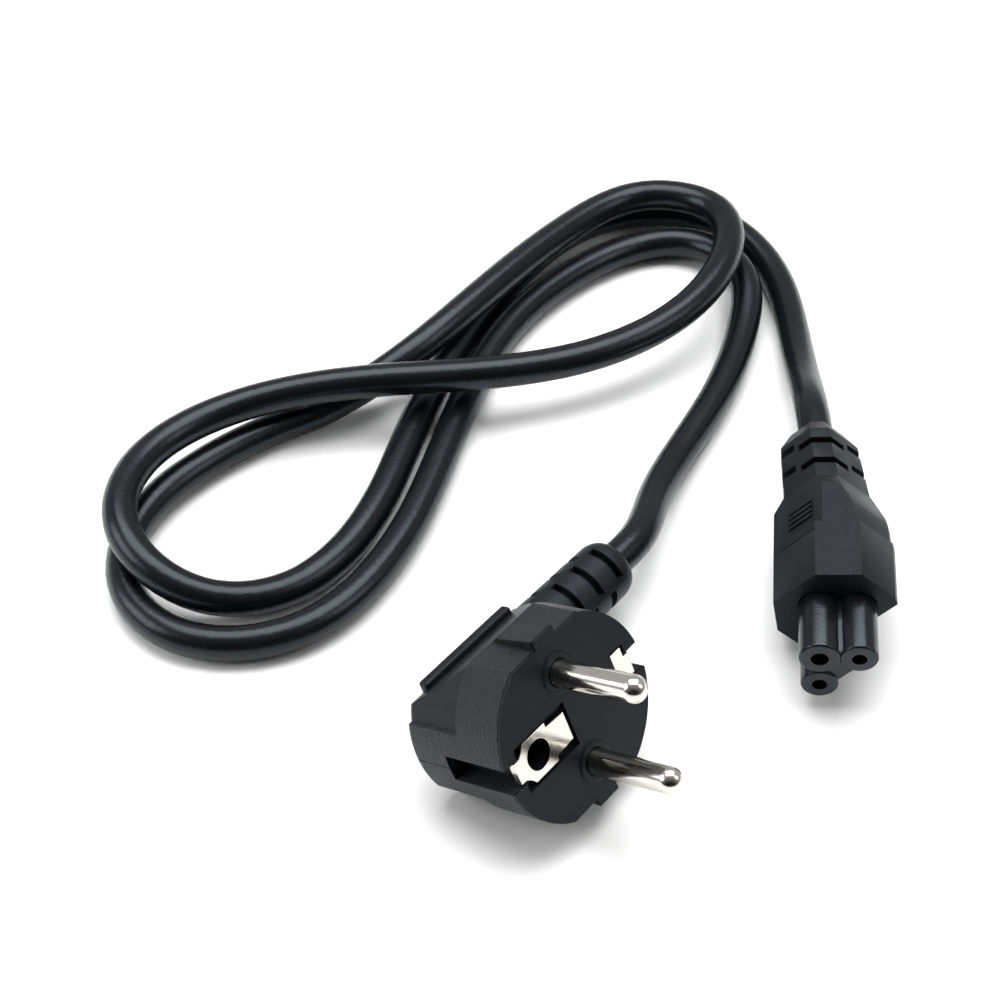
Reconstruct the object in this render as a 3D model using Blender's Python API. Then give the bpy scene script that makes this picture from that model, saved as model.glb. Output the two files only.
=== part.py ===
# A mains lead as it lies on a floor: an earthed two-pin plug, a round flexible cord and a three-lobe
# connector.
# Lengths are in metres. The floor is z = 0.

import bpy
import bmesh
import numpy as np
from math import acos, cos, pi, radians, sin
from mathutils import Euler, Matrix, Vector

CLEARANCE = 0.0003        # between pieces that touch
ARC_STEP = radians(12)    # turn of one side of a round outline

# Colours, linear RGB
OVERMOULD_COLOUR = (0.030, 0.031, 0.034)
FACE_COLOUR = (0.026, 0.027, 0.030)
NOSE_COLOUR = (0.018, 0.019, 0.022)
CORD_COLOUR = (0.022, 0.023, 0.026)
NICKEL_COLOUR = (0.74, 0.72, 0.69)

# Cord
CORD_D = 0.0068
CORD_STEP = 2.0 * CORD_D   # between two points of the tube
CORD_LEAD = 0.0040         # straight run out of each strain relief

# Plug. Its own frame: +Z the way the pins point, +Y the way the cord leaves, X along the line of the pins,
# origin midway between the pins on the face.
PLUG_PLACE = (-0.01585, -0.02997, 0.02006)
PLUG_TURN = (0.0, radians(64), radians(-39))
HEAD_R = 0.0180            # round outline of the face
HEAD_FLAT = 0.0158         # flats at both ends of the pin line
HEAD_DEPTH = 0.0105
RIB_OUT = 0.0175           # guide rib on each flat, lower at its back
RIB_BACK_OUT = 0.0168
RIB_HALF = 0.0025
RIB_SHORT = 0.0013         # length of the slope at the rib's back
NOTCH_HALF = 0.00255       # earth notch at the top and bottom of the face
NOTCH_FLOOR = 0.0146
NOTCH_DEPTH = 0.0142
WAIST_R = 0.0173           # smooth part behind the head, narrowing to the finger bars
WAIST_SIDE = 0.0155
WAIST_TOP = 0.0168
WAIST_RINGS = 4
SHELL_BACK = 0.0233
SHELL_HALF = 0.0095
SHELL_TOP = 0.0130
SHELL_ROUND = 0.0017
HEEL_HALF = 0.0068         # block round the lower earth notch, as wide as the head is round
HEEL_TOP = -0.0100
GRIP_AT = 0.0205           # finger bars on both sides
GRIP_THICK = 0.0022
GRIP_RISE = 0.0020
GRIP_LOW = -0.0114
GRIP_TOP = 0.0114
GRIP_ROUND = 0.0006
REAR_DEPTH = 0.0290        # hump over the cord, behind the finger bars
REAR_INSET = 0.0014
REAR_NARROWING = 0.0025
REAR_LOW = -0.0140
REAR_BACK_LOW = 0.0040
REAR_BACK_TOP = 0.0160
REAR_ROUND = 0.0010
CABLE_DEPTH = 0.0244       # cord axis behind the face
PLUG_RELIEF_ROOT_R = 0.0062
PLUG_RELIEF_R = 0.0059
PLUG_RELIEF_START = 0.0090
PLUG_RELIEF_END = 0.0400
PLUG_SLOTS_FROM_END = 0.0044
PLUG_SLOT_PITCH = 0.0056
PLUG_SLOT_COUNT = 3
RELIEF_TIP_R = 0.0040
RELIEF_CONE = 0.0034
SLOT_WIDTH = 0.0016        # slots of both strain reliefs
SLOT_DEPTH = 0.0016
SLOT_SPAN = radians(80)
FACE_LIP = 0.0005          # rim of the face moulding
FACE_ROOT = 0.0050         # its depth inside the shell
FACE_ROOT_INSET = 0.0024
FACE_ROOT_NOTCH = 0.0014   # how much wider the notches are in the root
PLATE_BED_HALF = 0.0045    # bed of the earth plate in the face
PLATE_BED_TOP = -0.0015
PLATE_BED_DEPTH = 0.0011
PIN_SPACING = 0.0190
PIN_R = 0.0024
PIN_LENGTH = 0.0190
PIN_ROOT = 0.0040
PIN_BOSS_R = 0.0037
PIN_BOSS_HEIGHT = 0.0003
EARTH_HOLE_Y = -0.0100
EARTH_HOLE_R = 0.0027
EARTH_HOLE_DEPTH = 0.0045
PLATE_THICK = 0.0006
PLATE_SUNK = 0.0002
PLATE_HEAD_HALF = 0.0028
PLATE_NECK_HALF = 0.0031
PLATE_HALF = 0.0040
PLATE_SHOULDER_Y = -0.0066
PLATE_LOW_Y = -0.0125
PLATE_SLOPE = 0.0008
CLIP_HALF = 0.0021
LOWER_CLIP_DEPTH = 0.0016
UPPER_CLIP_DEPTH = 0.0125
CLIP_FOOT_Y = 0.0116       # the upper clip's foot lies in its own bed in the face
CLIP_BOW = 0.0011
CLIP_THICK = 0.0006

# Connector. Its own frame: +Z the way the nose points, X from one lower lobe to the other, +Y towards the
# earth lobe, origin midway between the lower holes in the plane of the nose's end.
NOSE_PLACE = (0.03143, -0.01185, 0.00992)
NOSE_YAW = radians(-5.8)
NOSE_ROLL = radians(51.2)
NOSE_LENGTH = 0.0126
NOSE_ROOT = 0.0030
NOSE_ROUNDING = 0.0005
LINE_X = 0.0049            # lower holes, left and right
EARTH_Y = 0.0049
LINE_LOBE_R = 0.00338
EARTH_LOBE_R = 0.00372
LINE_HOLE_R = 0.00135
EARTH_BORE_R = 0.0016
CONTACT_SUNK = 0.0025
CONTACT_DEPTH = 0.0110
CONTACT_WALL = 0.0003
BODY_MIDDLE_X = 0.0006
BODY_HALF = 0.0106
BODY_FOOT = 0.0010         # cut off the two lower corners
BODY_BOTTOM = -0.0046
BODY_FOOT_Y = -0.0030
BODY_SHOULDER_Y = 0.0055
BODY_TOP = 0.0113
BODY_TOP_HALF = 0.0053
BODY_TOP_MIDDLE_X = 0.0001
BODY_FRONT_END = 0.0260    # from the nose's end back to the small step round the body
BODY_STEP = 0.0007
BODY_TOP_STEP = 0.0010
SHOULDER_RINGS = [(0.0260, 0.0), (0.0312, 0.0003), (0.0342, 0.0012), (0.0362, 0.0023)]
NECK_AT = 0.0387
RELIEF_FROM = 0.0360       # the strain relief leans a little, from here to its tip
NECK_MIDDLE = (0.0009, 0.0029)
TIP_MIDDLE = (0.0, 0.0049)
NECK_HALF = 0.0072
CONNECTOR_RELIEF_HALF = 0.0065
CONNECTOR_TIP_HALF = 0.0045
CONNECTOR_RELIEF_END = 0.0560
CONNECTOR_CONE = 0.0040
FLAT_SHARE = 0.60          # flat part of each side of the eight-sided relief
CONNECTOR_SLOTS_FROM_END = 0.0074
CONNECTOR_SLOT_PITCH = 0.0055
CONNECTOR_SLOT_COUNT = 2
CONNECTOR_SLOT_SHIFT = 0.0012
GRIP_BARS = 4
GRIP_BAR_WIDTH = 0.0007
GRIP_BAR_PITCH = 0.00125
GRIP_BAR_MIDDLE_X = 0.0009
GRIP_BAR_HALF = 0.0030
GRIP_BAR_AT = 0.0293
GRIP_BAR_RISE = 0.0004

# The cord's axis from the plug to the connector, in millimetres.
ROUTE_MM = [
    (1.2, 34.9, 6), (14.8, 64.6, 3.5), (23.8, 90.6, 4), (24.3, 105.1, 5.5), (15.3, 116.6, 4.5),
    (-19.7, 99.6, 3.5), (-32.7, 76.1, 3.5), (-40.7, 48.6, 3.5), (-50.2, 21.6, 3.5),
    (-67.7, 2.6, 3.5), (-87.7, 2.1, 3.5), (-98.7, 13.1, 3.5), (-100.2, 26.6, 3.5),
    (-90.7, 44.6, 3.5), (-66.2, 62.6, 3.5), (-49.7, 71.6, 9), (-35.2, 87.1, 11.5),
    (-13.2, 114.6, 11), (5.3, 126.1, 11), (18.8, 120.1, 12), (20.8, 105.1, 13),
    (11.3, 86.6, 12), (-11.7, 71.1, 11), (-36.7, 64.6, 12), (-54.7, 61.6, 13),
    (-81.7, 56.1, 11), (-98.7, 40.6, 11), (-99.7, 21.6, 11), (-84.2, 9.6, 6.5),
    (-67.2, 14.6, 3.5), (-55.2, 30.1, 3.5), (-47.2, 55.1, 3.5), (-39.2, 80.1, 3.5),
    (-24.2, 108.6, 3.5), (-4.7, 127.6, 3.5), (15.3, 129.1, 3.5), (28.8, 115.6, 3.5),
    (34.1, 83.6, 4.3), (33.8, 65.6, 8.6),
]


def clear_scene():
    for thing in list(bpy.data.objects):
        bpy.data.objects.remove(thing, do_unlink=True)


def material(name, colour, roughness, metallic=0.0):
    made = bpy.data.materials.new(name)
    made.use_nodes = True
    shader = made.node_tree.nodes["Principled BSDF"]
    shader.inputs["Base Color"].default_value = (*colour, 1.0)
    shader.inputs["Roughness"].default_value = roughness
    shader.inputs["Metallic"].default_value = metallic
    made.diffuse_color = (*colour, 1.0)
    return made


def frame_empty(name, place, rotation):
    """An empty that carries the pieces of one end of the lead."""
    empty = bpy.data.objects.new(name, None)
    bpy.context.scene.collection.objects.link(empty)
    empty.location = place
    empty.rotation_euler = rotation
    return empty


def finish(name, bm, look, parent=None):
    """Turns a bmesh into an object with smooth round faces and sharp edges."""
    bmesh.ops.recalc_face_normals(bm, faces=bm.faces)
    mesh = bpy.data.meshes.new(name)
    bm.to_mesh(mesh)
    bm.free()
    mesh.shade_smooth()
    mesh.set_sharp_from_angle(angle=radians(35))
    made = bpy.data.objects.new(name, mesh)
    bpy.context.scene.collection.objects.link(made)
    if look:
        mesh.materials.append(look)
    made.parent = parent
    return made


def boolean(target, tool, operation):
    """Adds an exact Boolean of the tool, which stays in the scene as a hidden guide."""
    modifier = target.modifiers.new(tool.name, "BOOLEAN")
    modifier.operation = operation
    modifier.solver = "EXACT"
    modifier.object = tool
    tool.hide_render = True
    tool.display_type = "WIRE"


def unite(target, *tools):
    for tool in tools:
        boolean(target, tool, "UNION")


def cut(target, *tools):
    for tool in tools:
        boolean(target, tool, "DIFFERENCE")


def prism(name, outline, low, high, look=None, parent=None):
    """The closed outline, in X and Y, pulled from z = low to z = high."""
    bm = bmesh.new()
    face = bm.faces.new([bm.verts.new((x, y, low)) for x, y in outline])
    pulled = bmesh.ops.extrude_face_region(bm, geom=[face])
    top = [v for v in pulled["geom"] if isinstance(v, bmesh.types.BMVert)]
    bmesh.ops.translate(bm, verts=top, vec=(0, 0, high - low))
    return finish(name, bm, look, parent)


def box(name, low, high, look=None, parent=None):
    corners = [(low[0], low[1]), (high[0], low[1]), (high[0], high[1]), (low[0], high[1])]
    return prism(name, corners, low[2], high[2], look, parent)


def hull(name, points, rounding=0.0, look=None, parent=None):
    """The convex solid around the points, with its clear edges rounded."""
    bm = bmesh.new()
    for point in points:
        bm.verts.new(point)
    made = bmesh.ops.convex_hull(bm, input=bm.verts)
    spare = {v for v in made["geom_interior"] + made["geom_unused"] if isinstance(v, bmesh.types.BMVert)}
    bmesh.ops.delete(bm, geom=list(spare), context="VERTS")
    bmesh.ops.dissolve_limit(bm, angle_limit=radians(0.5), verts=bm.verts, edges=bm.edges)
    if rounding:
        edges = [e for e in bm.edges if e.calc_face_angle(0) > radians(25)]
        bmesh.ops.bevel(bm, geom=edges, offset=rounding, segments=2, profile=0.5, affect="EDGES",
                        clamp_overlap=True)
    return finish(name, bm, look, parent)


def turned(name, profile, sides, look=None, parent=None):
    """A profile of (radius, height) pairs, bottom to top, turned about the Z axis."""
    bm = bmesh.new()
    rings = []
    for radius, height in profile:
        ring = []
        for k in range(sides):
            turn = 2 * pi * k / sides
            ring.append(bm.verts.new((radius * cos(turn), radius * sin(turn), height)))
        rings.append(ring)
    for lower, upper in zip(rings, rings[1:]):
        for k in range(sides):
            n = (k + 1) % sides
            bm.faces.new((lower[k], lower[n], upper[n], upper[k]))
    bm.faces.new(list(reversed(rings[0])))
    bm.faces.new(rings[-1])
    return finish(name, bm, look, parent)


def arc(radius, start, end):
    """Points on a circle about the origin, from one angle to the other, both included."""
    steps = max(1, round(abs(end - start) / ARC_STEP))
    step = (end - start) / steps
    return [(radius * cos(start + step * k), radius * sin(start + step * k))
            for k in range(steps + 1)]


def face_outline(inset=0.0, ribs=True, notch_extra=0.0):
    """Outline of the plug's face: a circle with two flats, two ribs and two notches."""
    radius, flat = HEAD_R - inset, HEAD_FLAT - inset
    half, floor = NOTCH_HALF + notch_extra, NOTCH_FLOOR - notch_extra
    right = arc(radius, acos(flat / radius), acos(half / radius))
    quarter = [(flat, RIB_HALF)] + right + [(half, floor)]
    if ribs:
        quarter = [(RIB_OUT, RIB_HALF)] + quarter
    upper = quarter + [(-x, y) for x, y in reversed(quarter)]
    return upper + [(-x, -y) for x, y in upper]


def slots(name, reach, middle, heights, shift, parent):
    """Cutters for rows of four slots round the Z axis. Every second slot of a row is shifted along it."""
    made = []
    for row, height in enumerate(heights):
        for quarter in range(4):
            at = height + (shift if quarter % 2 else 0.0)
            x, y = middle(at)
            outline = []
            for sign, extra in ((1, SLOT_WIDTH), (-1, -SLOT_DEPTH)):
                for k in range(-4, 5):
                    turn = radians(45 + 90 * quarter) + sign * k * SLOT_SPAN / 8
                    far = reach(at, turn) + extra
                    outline.append((x + far * cos(turn), y + far * sin(turn)))
            made.append(prism(f"{name}_{row}_{quarter}", outline, at - SLOT_WIDTH / 2, at + SLOT_WIDTH / 2,
                              None, parent))
    return made


def shell_ring(radius, half, top, z):
    """A circle cut off at both sides and at the top."""
    turn = acos(half / radius)
    lower = arc(radius, turn - pi, -turn)
    upper = [(x, min(y, top)) for x, y in arc(radius, turn, pi - turn)]
    return [(x, y, z) for x, y in lower + upper]


def rounded_back(radius, half, top):
    """The rings that round the back edge of the shell."""
    points = []
    for degree in (0, 30, 60, 90):
        inset = SHELL_ROUND * (1 - cos(radians(degree)))
        z = -SHELL_BACK + SHELL_ROUND * (1 - sin(radians(degree)))
        points += shell_ring(radius - inset, half - inset, top - inset, z)
    return points


def plug_waist(parent):
    """The smooth part behind the head: two slanted sides for the fingers."""
    points = []
    for k in range(WAIST_RINGS + 1):
        share = k / WAIST_RINGS
        half = WAIST_SIDE + share * (SHELL_HALF - WAIST_SIDE)
        top = WAIST_TOP + share * (SHELL_TOP - WAIST_TOP)
        points += shell_ring(WAIST_R, half, top, -HEAD_DEPTH - share * (GRIP_AT - HEAD_DEPTH))
    points += shell_ring(WAIST_R, WAIST_SIDE, WAIST_TOP, -HEAD_DEPTH + CLEARANCE)
    return hull("waist", points + rounded_back(WAIST_R, SHELL_HALF, SHELL_TOP), 0.0, None, parent)


def plug_heel(parent):
    points = shell_ring(HEAD_R, HEEL_HALF, HEEL_TOP, -HEAD_DEPTH + CLEARANCE)
    return hull("heel", points + rounded_back(HEAD_R, HEEL_HALF, HEEL_TOP), 0.0, None, parent)


def plug_rib(side, parent):
    """A guide rib, lower at its back than at the face."""
    base = HEAD_FLAT - CLEARANCE
    front = -FACE_LIP - CLEARANCE
    back = -HEAD_DEPTH + CLEARANCE
    points = []
    for y in (-RIB_HALF, RIB_HALF):
        for x, z in ((base, front), (RIB_OUT, front), (RIB_BACK_OUT, back + RIB_SHORT), (HEAD_FLAT, back),
                     (base, back)):
            points.append((side * x, y, z))
    return hull("rib", points, 0.0, None, parent)


def finger_bar(parent):
    """One bar through the shell that stands out on both sides."""
    points = []
    for x in (-SHELL_HALF - GRIP_RISE, SHELL_HALF + GRIP_RISE):
        for y in (GRIP_LOW, GRIP_TOP):
            points += [(x, y, -GRIP_AT), (x, y, -GRIP_AT - GRIP_THICK)]
    return hull("finger_bar", points, GRIP_ROUND, None, parent)


def plug_rear(parent):
    """The hump over the cord at the plug's back."""
    points = []
    for side in (-1, 1):
        front = side * (SHELL_HALF - REAR_INSET)
        back = side * (SHELL_HALF - REAR_INSET - REAR_NARROWING)
        for y in (REAR_LOW, SHELL_TOP - REAR_INSET):
            points.append((front, y, -GRIP_AT))
        points += [(back, REAR_BACK_LOW, -REAR_DEPTH), (back, REAR_BACK_TOP, -REAR_DEPTH),
                   (back, REAR_BACK_TOP, -SHELL_BACK)]
    return hull("rear", points, REAR_ROUND, None, parent)


def relief_radius(height, turn):
    share = (height - PLUG_RELIEF_START) / (PLUG_RELIEF_END - RELIEF_CONE - PLUG_RELIEF_START)
    return PLUG_RELIEF_ROOT_R + share * (PLUG_RELIEF_R - PLUG_RELIEF_ROOT_R)


def relief_axis(height):
    """The plug's strain relief is turned about the Z axis of its own frame."""
    return (0.0, 0.0)


def plug_relief(parent):
    """The plug's strain relief: a slightly tapered barrel with a rounded end."""
    profile = [(PLUG_RELIEF_ROOT_R, PLUG_RELIEF_START)]
    for degree in (0, 30, 60, 90):
        turn = radians(degree)
        profile.append((RELIEF_TIP_R + (PLUG_RELIEF_R - RELIEF_TIP_R) * cos(turn),
                        PLUG_RELIEF_END - RELIEF_CONE * (1 - sin(turn))))
    return turned("plug_relief", profile, 24, None, parent)


def plug_shell(parent, look):
    """The plug's moulded body with its finger bars and strain relief."""
    shell = prism("plug_body", face_outline(0.0, False), -HEAD_DEPTH, -FACE_LIP - CLEARANCE, look, parent)
    unite(shell, plug_waist(parent), plug_heel(parent), plug_rib(-1, parent), plug_rib(1, parent))
    relief = plug_relief(parent)
    unite(shell, finger_bar(parent), plug_rear(parent), relief)

    for side in (-1, 1):
        low, high = sorted((side * NOTCH_FLOOR, side * 2 * HEAD_R))
        notch = box("notch", (-NOTCH_HALF, low, -NOTCH_DEPTH), (NOTCH_HALF, high, NOTCH_HALF), None, parent)
        cut(shell, notch)
    pocket = face_outline(FACE_ROOT_INSET - CLEARANCE, False, FACE_ROOT_NOTCH - CLEARANCE)
    cut(shell, prism("pocket", pocket, -FACE_ROOT - CLEARANCE, NOTCH_HALF, None, parent))
    for side in (-1, 1):
        cut(shell, plate_bed("plate_way", side, NOTCH_FLOOR - FACE_ROOT_INSET, parent))
    heights = [PLUG_RELIEF_END - PLUG_SLOTS_FROM_END - k * PLUG_SLOT_PITCH for k in range(PLUG_SLOT_COUNT)]
    cutters = slots("plug_slot", relief_radius, relief_axis, heights, -PLUG_SLOT_PITCH / 2, parent)
    for thing in [relief] + cutters:
        thing.location = (0, 0, -CABLE_DEPTH)
        thing.rotation_euler = (-pi / 2, 0, 0)
    cut(shell, *cutters)
    return shell


def plate_bed(name, side, near, parent):
    """Cutter for a shallow bed in the face, open to the notch on that side."""
    low, high = sorted((side * near, side * (NOTCH_FLOOR + CLEARANCE / 2)))
    return box(name, (-PLATE_BED_HALF, low, -PLATE_BED_DEPTH), (PLATE_BED_HALF, high, PLATE_BED_DEPTH), None,
               parent)


def plug_face(parent, look):
    """The moulding that holds the pins: a thin rim over the shell and a root inside it."""
    face = prism("plug_face", face_outline(), -FACE_LIP, 0.0, look, parent)
    root = face_outline(FACE_ROOT_INSET, False, FACE_ROOT_NOTCH)
    unite(face, prism("face_root", root, -FACE_ROOT, -FACE_LIP / 2, None, parent))
    boss_profile = [(PIN_BOSS_R, -FACE_LIP / 2), (PIN_BOSS_R, PIN_BOSS_HEIGHT / 2),
                    (PIN_BOSS_R - PIN_BOSS_HEIGHT, PIN_BOSS_HEIGHT)]
    bore_profile = [(PIN_R + CLEARANCE, -PIN_ROOT - CLEARANCE), (PIN_R + CLEARANCE, PIN_R)]
    bores = []
    for side in (-1, 1):
        boss = turned("boss", boss_profile, 24, None, parent)
        bore = turned("pin_bore", bore_profile, 20, None, parent)
        boss.location = bore.location = (side * PIN_SPACING / 2, 0, 0)
        unite(face, boss)
        bores.append(bore)
    earth_profile = [(EARTH_HOLE_R, -EARTH_HOLE_DEPTH), (EARTH_HOLE_R, PIN_R)]
    earth = turned("earth_bore", earth_profile, 24, None, parent)
    earth.location = (0, EARTH_HOLE_Y, 0)
    cut(face, *bores, earth)
    cut(face, plate_bed("plate_bed", -1, -PLATE_BED_TOP, parent))
    cut(face, plate_bed("clip_bed", 1, CLIP_FOOT_Y - CLEARANCE, parent))
    return face


def pin(name, side, parent, look):
    """A solid round pin with a ball end."""
    centre = PIN_LENGTH - PIN_R
    ball = [(PIN_R * cos(radians(a)), centre + PIN_R * sin(radians(a))) for a in range(0, 90, 18)]
    ball.append((PIN_R * cos(radians(84)), PIN_LENGTH))
    made = turned(name, [(PIN_R, -PIN_ROOT)] + ball, 20, look, parent)
    made.location = (side * PIN_SPACING / 2, 0, 0)
    return made


def clip_outline(direction, depth, most):
    """Side view of a bowed spring strip in an earth notch, as (y, z) pairs."""
    floor = NOTCH_FLOOR + CLEARANCE
    outer, inner = [], []
    for k in range(9):
        share = k / 8
        bow = most * sin(pi * share)
        z = -PLATE_SUNK - share * (depth - PLATE_SUNK)
        inner.append((direction * (floor + bow), z))
        outer.append((direction * (floor + bow + CLIP_THICK), z))
    return outer + list(reversed(inner))


def strip(name, outline, half, parent, look):
    """A side view in (y, z), pulled along X by half its width each way."""
    bm = bmesh.new()
    face = bm.faces.new([bm.verts.new((-half, y, z)) for y, z in outline])
    pulled = bmesh.ops.extrude_face_region(bm, geom=[face])
    top = [v for v in pulled["geom"] if isinstance(v, bmesh.types.BMVert)]
    bmesh.ops.translate(bm, verts=top, vec=(2 * half, 0, 0))
    return finish(name, bm, look, parent)


def earth_plate(parent, look):
    """The flat plate round the earth hole, with the lower side clip bent out of it."""
    right = [(PLATE_HEAD_HALF, PLATE_BED_TOP - 2 * CLEARANCE), (PLATE_NECK_HALF, PLATE_SHOULDER_Y),
             (PLATE_HALF, PLATE_SHOULDER_Y), (PLATE_HALF, PLATE_LOW_Y),
             (CLIP_HALF + PLATE_SLOPE, PLATE_LOW_Y - PLATE_SLOPE), (CLIP_HALF, -NOTCH_FLOOR + CLEARANCE),
             (CLIP_HALF, -NOTCH_FLOOR - CLEARANCE - CLIP_THICK / 2)]
    outline = [(-x, y) for x, y in reversed(right)] + right
    plate = prism("earth_plate", outline, -PLATE_SUNK - PLATE_THICK, -PLATE_SUNK, look, parent)
    unite(plate, strip("lower_clip", clip_outline(-1, LOWER_CLIP_DEPTH, 0.0), CLIP_HALF, parent, None))
    hole_profile = [(EARTH_HOLE_R, -2 * PLATE_BED_DEPTH), (EARTH_HOLE_R, PLATE_THICK)]
    hole = turned("plate_hole", hole_profile, 24, None, parent)
    hole.location = (0, EARTH_HOLE_Y, 0)
    cut(plate, hole)
    return plate


def earth_clip(parent, look):
    """The upper side clip: a foot in the face and a bowed strip in the notch."""
    foot_end = NOTCH_FLOOR - CLEARANCE
    right = [(PLATE_HALF, CLIP_FOOT_Y), (PLATE_HALF, foot_end), (CLIP_HALF, foot_end),
             (CLIP_HALF, NOTCH_FLOOR + CLEARANCE + CLIP_THICK / 2)]
    outline = right + [(-x, y) for x, y in reversed(right)]
    clip = prism("earth_clip", outline, -PLATE_SUNK - PLATE_THICK, -PLATE_SUNK, look, parent)
    unite(clip, strip("upper_clip", clip_outline(1, UPPER_CLIP_DEPTH, CLIP_BOW), CLIP_HALF, parent, None))
    return clip


def body_section(narrower, lower, z):
    """The connector's cross-section with both sides moved in and the top lowered."""
    half = BODY_HALF - narrower
    top = BODY_TOP_HALF + lower
    right = [(half - BODY_FOOT, BODY_BOTTOM), (half, BODY_FOOT_Y), (half, BODY_SHOULDER_Y + narrower)]
    section = [(BODY_MIDDLE_X + side * x, y, z) for side in (-1, 1) for x, y in right]
    return section + [(BODY_TOP_MIDDLE_X + side * top, BODY_TOP - lower, z) for side in (-1, 1)]


def relief_middle(z):
    """Where the middle of the leaning strain relief is, at a height."""
    share = (-z - RELIEF_FROM) / (CONNECTOR_RELIEF_END - RELIEF_FROM)
    return [near + share * (far - near) for near, far in zip(NECK_MIDDLE, TIP_MIDDLE)]


def relief_ring(half, z):
    """An eight-sided ring round the middle of the relief."""
    x, y = relief_middle(z)
    flat = FLAT_SHARE * half
    corners = [(half, flat), (flat, half)]
    return [(x + p * a, y + q * b, z) for p in (-1, 1) for q in (-1, 1) for a, b in corners]


def relief_reach(z, turn):
    """From the middle of the relief to its surface."""
    share = (-z - NECK_AT) / (CONNECTOR_RELIEF_END - CONNECTOR_CONE - NECK_AT)
    half = NECK_HALF + share * (CONNECTOR_RELIEF_HALF - NECK_HALF)
    across, along = abs(cos(turn)), abs(sin(turn))
    return min(half / max(across, along), half * (1 + FLAT_SHARE) / (across + along))


def connector_shell(parent, look):
    """The connector's moulded body, its shoulder and its strain relief."""
    front = body_section(0.0, 0.0, -NOSE_LENGTH) + body_section(0.0, 0.0, -BODY_FRONT_END)
    shell = hull("connector_body", front, 0.0, look, parent)
    back = relief_ring(NECK_HALF, -NECK_AT)
    back += body_section(BODY_STEP, BODY_TOP_STEP, -BODY_FRONT_END + BODY_STEP)
    for depth, narrower in SHOULDER_RINGS:
        back += body_section(BODY_STEP + narrower, BODY_TOP_STEP, -depth)
    relief = relief_ring(NECK_HALF, -RELIEF_FROM)
    relief += relief_ring(CONNECTOR_RELIEF_HALF, -CONNECTOR_RELIEF_END + CONNECTOR_CONE)
    relief += relief_ring(CONNECTOR_TIP_HALF, -CONNECTOR_RELIEF_END)
    unite(shell, hull("shoulder", back, 0.0, None, parent))
    unite(shell, hull("connector_relief", relief, 0.0, None, parent))

    top = BODY_TOP - BODY_TOP_STEP + GRIP_BAR_RISE
    for k in range(GRIP_BARS):
        z = -GRIP_BAR_AT - k * GRIP_BAR_PITCH
        low, high = GRIP_BAR_MIDDLE_X - GRIP_BAR_HALF, GRIP_BAR_MIDDLE_X + GRIP_BAR_HALF
        unite(shell, box(f"grip_bar_{k}", (low, BODY_TOP - 2 * BODY_TOP_STEP, z - GRIP_BAR_WIDTH / 2),
                         (high, top, z + GRIP_BAR_WIDTH / 2), None, parent))

    floor = -NOSE_LENGTH - NOSE_ROOT - CLEARANCE
    mouth = nose_solid("mouth", CLEARANCE, floor, -NOSE_LENGTH + NOSE_ROUNDING, parent, None)
    heights = [-CONNECTOR_RELIEF_END + CONNECTOR_SLOTS_FROM_END + k * CONNECTOR_SLOT_PITCH
               for k in range(CONNECTOR_SLOT_COUNT)]
    cutters = slots("connector_slot", relief_reach, relief_middle, heights, -CONNECTOR_SLOT_SHIFT, parent)
    cut(shell, mouth, *cutters)
    return shell


def lobes():
    """Centre and radius of each lobe of the nose, with its hole's radius."""
    return [
        ("earth", (0.0, EARTH_Y), EARTH_LOBE_R, EARTH_BORE_R),
        ("left", (-LINE_X, 0.0), LINE_LOBE_R, LINE_HOLE_R),
        ("right", (LINE_X, 0.0), LINE_LOBE_R, LINE_HOLE_R),
    ]


def nose_solid(name, grown, low, high, parent, look, rounding=0.0):
    """The three lobes and the web between them, grown by a clearance."""
    web = []
    for label, (x, y), radius, hole in lobes():
        reach = radius / 2 + grown
        web += [(x + a, y + b) for a, b in arc(reach, 0, 2 * pi)[1:]]
    points = [(x, y, z) for x, y in web for z in (low, high - rounding)]
    nose = hull(name, points, 0.0, look, parent)
    for label, (x, y), radius, hole in lobes():
        profile = [(radius + grown, low), (radius + grown, high - rounding)]
        if rounding:
            half_way = rounding * (1 - cos(radians(45)))
            profile += [(radius + grown - half_way, high - half_way), (radius + grown - rounding, high)]
        lobe = turned(f"{name}_{label}", profile, 24, None, parent)
        lobe.location = (x, y, 0)
        unite(nose, lobe)
    return nose


def connector_nose(parent, look):
    """The hard three-lobe nose, with its root in the body and a hole for each contact."""
    nose = nose_solid("connector_nose", 0.0, -NOSE_LENGTH - NOSE_ROOT, 0.0, parent, look, NOSE_ROUNDING)
    for label, (x, y), radius, hole in lobes():
        bore_profile = [(hole, -CONTACT_DEPTH - CLEARANCE), (hole, hole)]
        bore = turned(f"contact_bore_{label}", bore_profile, 16, None, parent)
        bore.location = (x, y, 0)
        cut(nose, bore)
    return nose


def contact(name, centre, hole, parent, look):
    """A tube contact, sunk in its hole."""
    outer = hole - CLEARANCE
    tube = turned(name, [(outer, -CONTACT_DEPTH), (outer, -CONTACT_SUNK)], 16, look, parent)
    tube.location = (*centre, 0)
    inner = outer - CONTACT_WALL
    bore_profile = [(inner, -CONTACT_DEPTH + 2 * CONTACT_WALL), (inner, 0.0)]
    bore = turned(f"{name}_bore", bore_profile, 16, None, parent)
    bore.location = (*centre, 0)
    cut(tube, bore)
    return tube


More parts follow.
